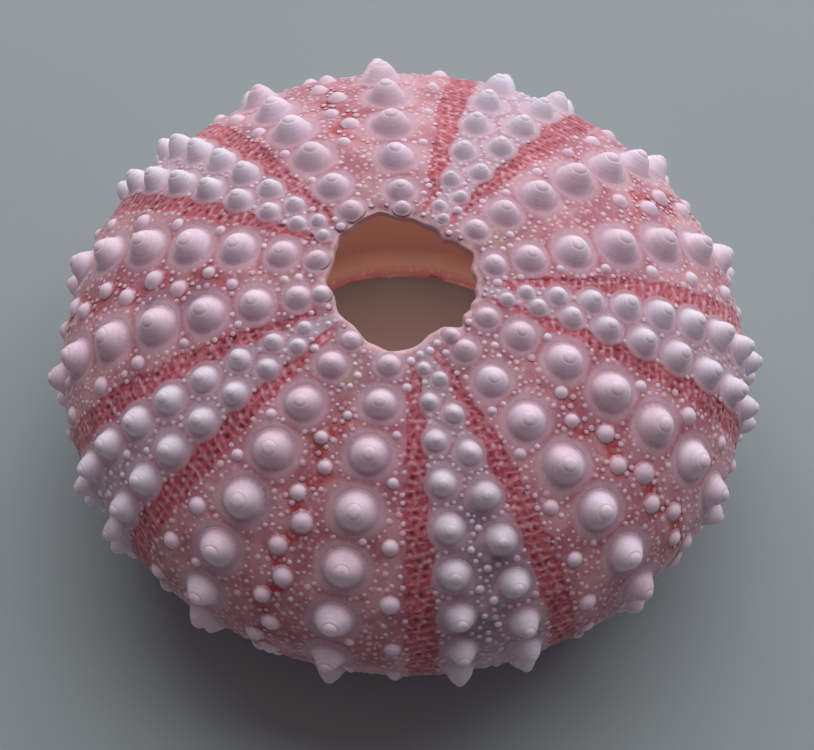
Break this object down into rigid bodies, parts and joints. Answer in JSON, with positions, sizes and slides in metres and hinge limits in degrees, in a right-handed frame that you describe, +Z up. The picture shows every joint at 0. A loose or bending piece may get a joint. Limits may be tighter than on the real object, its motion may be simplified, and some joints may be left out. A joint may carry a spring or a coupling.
{
  "type": "sea urchin shell",
  "caption": "Empty rock-boring urchin shell: a hollow oval dome set with rows of rounded tubercles, with a ragged hole on top and a wide mouth below.",
  "frame": {"origin": "middle of the box at the level of the flats that the shell rests on", "axes": "+Z up through the top hole, +X along the longer way of the oval"},
  "size_m": [0.0642, 0.0604, 0.0293],
  "materials": {
    "chalk": "matte rosy chalk with lilac-white tubercles and coral-red pore bands"
  },
  "bodies": {
    "root": {"shell": "chalk"}
  },
  "joints": []
}
